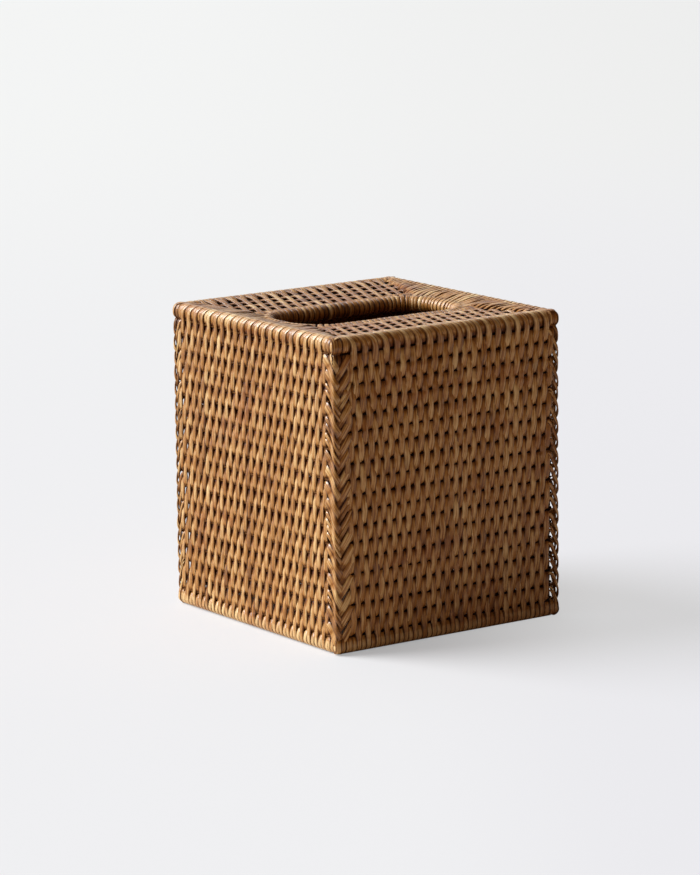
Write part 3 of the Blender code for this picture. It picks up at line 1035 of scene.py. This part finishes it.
def thin_canes(wall, seed, skin):
    """The thin canes of one wall, and of the field above it, as one piece."""
    draw = random.Random(seed)
    bundle = Bundle(round_section, 2 * thin_cane_radius)
    place = Matrix.Rotation(wall.turn, 3, "Z")
    reach = (side_mat if wall.distance == half_width else front_mat) + past_mat
    for row in range(cane_count):
        stops = []
        for share in shares:
            across = share * reach
            high = cane_height(wall, row) + sag(wall, row, across)
            point = place @ in_wall(wall, across, weave_depth, high)
            stops.append(Stop(point, place @ outward, 1.0, 0))
        bundle.lay(stops, 2 * thin_cane_radius, draw.random(), taper=1.0)
    if wall.ring_across > wall.ring_along:
        for deep in field_canes:
            share_of_run = (deep - field_start) / (half_depth - mitre_y - field_start)
            ends = [start + (mitre_x - start) * share_of_run for start in wall.mitres]
            stops = []
            for share in shares:
                across = share * (ends[0] if share < 0 else ends[1])
                point = place @ in_wall(wall, across, deep, field_height(deep))
                stops.append(Stop(point, straight_up, 1.0, 0))
            bundle.lay(stops, 2 * thin_cane_radius, draw.random(), taper=1.0)
    bundle.finish(wall.name + "_thin_canes", skin, "cane_rod")


# The left wall's canes get the lighter copy, and the others the copy painted nearly black as
# shade.
for number, wall in enumerate(walls.values()):
    thin_canes(wall, 40 + number, thin_cane_skin if wall.name == "left" else shaded_cane_skin)

# %% [markdown]
# ## The plaited corners
# Each upright corner is laced with two rows of arms, one from each wall. An arm comes out beside
# the last strip of its wall, falls across the corner and dives under the arm that comes the other
# way, so the arms meet in a column of Vs. A point of a corner is given by its run round the
# corner from the middle, its depth under the skin and its height.

# %% Describe a corner
Corner = namedtuple("Corner", "name turn x y reach arm_width")
corners = [
    Corner("front_left", 0, -half_width, -half_depth, 1.0, 4.0 * mm),
    Corner("front_right", right_angle, half_width, -half_depth, 0.74, 2.0 * mm),
    Corner("back_right", 2 * right_angle, half_width, half_depth, 0.85, 4.4 * mm),
    Corner("back_left", 3 * right_angle, -half_width, half_depth, 0.68, 1.9 * mm),
]
corner_arc = corner_radius * math.pi / 4


def at_corner(corner, run, deep, high):
    """A point at a corner, and the direction that the surface faces there."""
    if abs(run) <= corner_arc:
        angle = math.pi / 4 * (1 - run / corner_arc)
        facing = Vector((-math.sin(angle), -math.cos(angle), 0))
        spot = Vector((corner_radius, corner_radius, 0)) + facing * (corner_radius - deep)
    elif run > 0:
        facing = Vector((0, -1, 0))
        spot = Vector((corner_radius + run - corner_arc, deep, 0))
    else:
        facing = Vector((-1, 0, 0))
        spot = Vector((deep, corner_radius - run - corner_arc, 0))
    place = Matrix.Rotation(corner.turn, 3, "Z")
    point = place @ spot + Vector((corner.x, corner.y, high))
    return point, place @ facing


for corner in corners:
    print(corner.name, "faces", [round(part, 2) for part in at_corner(corner, 0, 0, 0)[1]])

# %% [markdown]
# The stops of an arm are kept in a table: its run round the corner, its depth and its rise, in
# millimetres. The upper arm comes from the left of the corner and lies outermost. Some arms are
# two narrow strands side by side. Near the rim the arms go deeper, under the wraps of the corner.

# %% Plait the corners
upper_arm = [
    (-9.2, 2.6, 2.6), (-8.4, 1.2, 3.9), (-7.3, 0.62, 4.0), (-6.0, 0.6, 2.9), (-4.4, 0.9, 1.0),
    (-2.8, 0.85, -1.3), (-1.2, 0.5, -3.6), (0.3, 0.47, -5.7), (1.5, 0.52, -7.3), (2.3, 0.7, -8.4),
    (2.9, 1.2, -9.2), (3.3, 1.9, -9.8),
]
lower_arm = [
    (9.7, 2.4, 5.4), (8.9, 1.2, 5.0), (8.0, 0.7, 4.0), (6.8, 0.6, 2.2), (5.6, 0.62, 0.4),
    (4.4, 0.8, -1.4), (3.2, 1.1, -3.2), (2.0, 1.45, -5.0), (0.8, 1.8, -6.7), (-0.4, 2.3, -8.3),
    (-1.4, 3.0, -9.5),
]
plait_low = 3.0 * mm
plait_high = cover_height - 4.7 * mm
wraps_end = cover_height - 8.5 * mm
double_arms = 0.3
end_tuck = 0.9 * mm


def plait(corner, seed):
    """The two rows of arms of one corner, as one piece."""
    draw = random.Random(seed)
    bundle = Bundle(peel_section, peel)

    def round_corner(flat):
        return at_corner(corner, flat.x, flat.y, flat.z)[0]

    for row in range(cane_count):
        for arm in (lower_arm, upper_arm) if row < cane_count - 1 else (upper_arm,):
            level = lowest_cane + cane_pitch * row + draw.uniform(0.9, 2.1) * mm
            sway = 1.2 * noise.noise(Vector((row * 0.3, seed, 0.7))) + draw.uniform(-0.3, 0.3)
            strands = 2 if draw.random() < double_arms else 1
            width = corner.arm_width * draw.uniform(0.92, 1.06) / strands
            tone = own_tone(draw, 0.55, 0.22)
            tilt = Vector((0, -1, draw.uniform(0.08, 0.26)))
            for strand in range(strands):
                shift = (strand - (strands - 1) / 2) * width * 1.55
                lift = draw.uniform(0.14, 0.40)
                stops = []
                for index, (run, deep, rise) in enumerate(arm):
                    high = level + rise * mm + shift
                    share = min(0.74 + 0.08 * index, 1.0)
                    if plait_low < high < plait_high:
                        below = (deep + lift) * mm + 0.5 * max(high - wraps_end, 0)
                        spot = Vector(((run * corner.reach + sway) * mm, below, high))
                        # Raised parts of an arm get painted light and deep parts painted shade.
                        stops.append(Stop(spot, tilt, share, 0.8 if deep < 0.9 else -0.5))
                if len(stops) > 3:
                    for end in (0, -1):
                        point = stops[end].point + inward * end_tuck
                        stops[end] = stops[end]._replace(point=point)
                    bundle.lay(stops, width, tone, taper=0.9, bend=round_corner)
    bundle.finish("plait_" + corner.name, plait_skin, "corner_plait",
                  ["corner_plait_" + corner.name])


for number, corner in enumerate(corners):
    plait(corner, 60 + number)

# %% [markdown]
# ## The wraps over the box corners
# Where three faces meet, six short strips wrap the rim side by side and hide the ends of the
# canes. The top ones start near a common point behind the corner and show their tails under the
# rim, and the base ones end inside. Each wrap has a run round the corner and a width.

# %% Wrap the box corners
wraps = [(-7.2, 3.2), (-4.4, 2.6), (-2.0, 2.3), (0.9, 3.0), (3.7, 2.6), (6.9, 3.6)]
bend_clearance = 0.22 * mm
top_tail = (
    (0.85, -2.2), (1.7, -3.2), (2.2, -4.2), (1.5, -5.2), (1.4, -8.0), (2.6, -10.5),
)
base_head = ((2.6, 4.2), (1.3, 3.8))


def round_rim(corner, run, wrap, centre_high, degrees):
    """A point on a wrap round a rim, and its facing; 0 is outward and 90 is up."""
    angle = math.radians(degrees)
    radius = wrap - peel / 2 - bend_clearance
    deep = wrap - radius * math.cos(angle)
    point, away = at_corner(corner, run * mm, deep, centre_high + radius * math.sin(angle))
    return point, away * math.cos(angle) + straight_up * math.sin(angle)


def top_wraps(corner, seed):
    """The short wraps over a top corner, as one piece."""
    draw = random.Random(seed)
    bundle = Bundle(peel_section, peel)
    place = Matrix.Rotation(corner.turn, 3, "Z")
    hub = place @ Vector((9.5 * mm, 9.5 * mm, 0))
    hub += Vector((corner.x, corner.y, cover_height - 1.6 * mm))
    centre_high = cover_height - top_wrap
    for run, width in wraps:
        run += draw.uniform(-0.2, 0.2)
        crest, _ = at_corner(corner, run * mm, top_wrap, cover_height - peel / 2)
        # The start under the neighbours and the deep part of the tail get painted shade.
        stops = [
            Stop(hub.lerp(crest, 0.15) - straight_up * (1.2 * mm), straight_up, 0.55, -0.5),
            Stop(hub.lerp(crest, 0.55), straight_up, 0.8, 0.5),
        ]
        for degrees in (90, 60, 30, 0):
            point, facing = round_rim(corner, run, top_wrap, centre_high, degrees)
            stops.append(Stop(point, facing, 1.0, 0.6))
        for deep, high in top_tail:
            point, away = at_corner(corner, run * mm, deep * mm, centre_high + high * mm)
            stops.append(Stop(point, away, 0.9, 0.2 if deep < 1 else -0.6))
        bundle.lay(stops, width * mm * draw.uniform(0.95, 1.05), own_tone(draw))
    bundle.finish("top_wraps_" + corner.name, peel_skin, "wall_weave",
                  ["top_corner_cap_" + corner.name])


def base_wraps(corner, seed):
    """The short wraps under a base corner, as one piece."""
    draw = random.Random(seed)
    bundle = Bundle(peel_section, peel)
    for run, width in wraps:
        run += draw.uniform(-0.2, 0.2)
        stops = []
        # The head and the tail inside get painted shade, the outer half painted light.
        for deep, high in base_head:
            point, away = at_corner(corner, run * mm, deep * mm, base_wrap + high * mm)
            stops.append(Stop(point, away, 0.9, -0.4))
        for degrees in (20, -10, -40, -65, -90):
            point, facing = round_rim(corner, run, base_wrap, base_wrap, degrees)
            stops.append(Stop(point, facing, 1.0, base_painted_light))
        point, _ = at_corner(corner, run * mm, base_wrap + 1.1 * mm, 1.2 * mm)
        stops.append(Stop(point, -straight_up, 0.8, -0.8))
        bundle.lay(stops, width * mm * draw.uniform(0.95, 1.05), own_tone(draw))
    bundle.finish("base_wraps_" + corner.name, peel_skin, "wall_weave",
                  ["base_corner_cap_" + corner.name])


for number, corner in enumerate(corners):
    top_wraps(corner, 80 + number)
    base_wraps(corner, 90 + number)

# %% [markdown]
# ## The big canes
# The canes inside the rims and the ring keep their solids. They only need their finish.

# %% Finish the big canes
cane_skins = {
    "rod_front": cane_along_x, "rod_back": cane_along_x,
    "rod_left": cane_along_y, "rod_right": cane_along_y, "ring_rod": cane_round_ring,
}
for name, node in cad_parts.items():
    for ending, skin in cane_skins.items():
        if name.endswith(ending):
            node.data.materials[0] = skin
            print(name, "is finished as", skin.name)

# %% [markdown]
# ## The table
# The cover stands on a pale table that runs on into the background. Seen straight on, the paper
# on it is lifted half way to its full tone, as an exposure for the cover does, and it keeps the
# shadow. Its near edge is close, because little light comes back from the room in front.

# %% Lay the table
far_edge = (12.0, 4.0)
near_edge = (-0.62, 0.6)
table_bm = bmesh.new()
bmesh.ops.create_grid(table_bm, x_segments=1, y_segments=1, size=1)
forward = Vector((-back.x, -back.y, 0)).normalized()
for vert in table_bm.verts:
    ahead, half_edge = far_edge if vert.co.y > 0 else near_edge
    aside = vert.co.x * half_edge
    vert.co = forward * ahead + level_right * aside - Vector((0, 0, 0.1 * mm))
table_mesh = bpy.data.meshes.new("table")
table_bm.to_mesh(table_mesh)
table_bm.free()
table = add_object("table", table_mesh)
print("the table runs from", near_edge[0], "to", far_edge[0], "metres, seen from the camera")

# %% [markdown]
# The paper is told where it lies: to the right of the cover, where its shadow falls, or far
# behind it. What the camera sees of it has its own tones there: to the right it glows more and
# is darker, which paints light into the cover's shadow so that it looks paler. What it throws
# back at the cover is one warm tone. Inside the cover it isn't lifted, so that the inside stays
# dark.

# %% Finish the table
lift_left = 0.35
lift_right = 0.60
paper_left = 0.465
paper_right = 0.21
paper_unseen = (0.64, 0.54, 0.43, 1)
paper = Finish("pale_paper")
spot = paper.own_place()
beside = paper.math("GREATER_THAN", paper.math("ABSOLUTE", paper.part(spot, 0)),
                    half_width - base_wrap)
before = paper.math("GREATER_THAN", paper.math("ABSOLUTE", paper.part(spot, 1)),
                    half_depth - base_wrap)
seen = paper.node("LightPath", {}, {}) * paper.math("MAXIMUM", beside, before)
right_of = paper.node("VectorMath", {"operation": "DOT_PRODUCT"}, {0: spot, 1: level_right}, 1)
behind_it = paper.node("VectorMath", {"operation": "DOT_PRODUCT"}, {0: spot, 1: forward}, 1)
far = paper.step(behind_it, 0.2, 2.0)
aside = paper.step(right_of, 0.0, 0.12) * (1 - far)


def grey(level, blue=1.0):
    """A nearly neutral paper tone."""
    return (level, level, level * blue, 1)


# To the right, where the shadow falls, a stronger glow and a darker paper paint light into it.
paper_seen = paper.mix(aside, grey(paper_left, 1.02), grey(paper_right, 1.12))
lift_far = paper.mix(paper.step(right_of, -0.35, 0.45), (0.385, 0.40, 0.385, 1),
                     (0.335, 0.345, 0.33, 1))
lift_near = (lift_left, lift_left + 0.008, lift_left + 0.014, 1)
lift_seen = paper.mix(aside, paper.mix(far, lift_near, lift_far), grey(lift_right))
table_mesh.materials.append(paper.shade({
    "Base Color": paper.mix(seen, paper_unseen, paper_seen),
    "Emission Color": paper.mix(seen, (0, 0, 0, 1), lift_seen),
    "Emission Strength": 1.0, "Roughness": 0.9, "Specular IOR Level": 0.0,
}))
print("paper seen at", paper_left, "and", paper_right, "lifted by", lift_left, "and", lift_right)

# %% [markdown]
# ## The light
# One broad soft lamp stands to the left and a little behind, so the left wall is bright and the
# shadow falls to the right. The air is brighter behind the cover than in front of it, where the
# room is dim and a little warm, and that is also what the gloss of each wall reflects.

# %% Hang the lamp and fill the air
lamp_from = Vector((-0.60, 0.55, 0.58))
lamp_data = bpy.data.lights.new("window", "SUN")
lamp_data.energy = 4.6
lamp_data.angle = math.radians(45)
lamp = add_object("window", lamp_data)
lamp.rotation_euler = lamp_from.to_track_quat("Z", "Y").to_euler()

world = bpy.data.worlds.new("air")
world.use_nodes = True
bpy.context.scene.world = world
air = Nodes(world.node_tree)
rays = air.node("LightPath", {}, {})
glossy = Signal(air, rays.socket.node.outputs["Is Glossy Ray"])
direction = air.node("TexCoord", {}, {})
across, along, upward = [air.part(direction, axis) for axis in range(3)]
behind = air.step(along * 0.85 - across * 0.5 + upward * 0.3, -0.35, 0.75)
diffuse_air = air.mix(behind, (0.100, 0.046, 0.017, 1), (0.42, 0.44, 0.47, 1))
gloss_air = air.mix(behind, (0.03, 0.027, 0.025, 1), (0.85, 0.86, 0.88, 1))
colour = air.mix(glossy, diffuse_air, gloss_air)
colour = air.mix(rays, colour, (0.875, 0.88, 0.895, 1))
backdrop = world.node_tree.nodes["Background"]
air.fill(backdrop, {"Color": colour, "Strength": 1.0})
bpy.context.scene.view_settings.view_transform = "Standard"
print("lamp of", round(lamp_data.energy, 2), "from", [round(value, 2) for value in lamp_from])
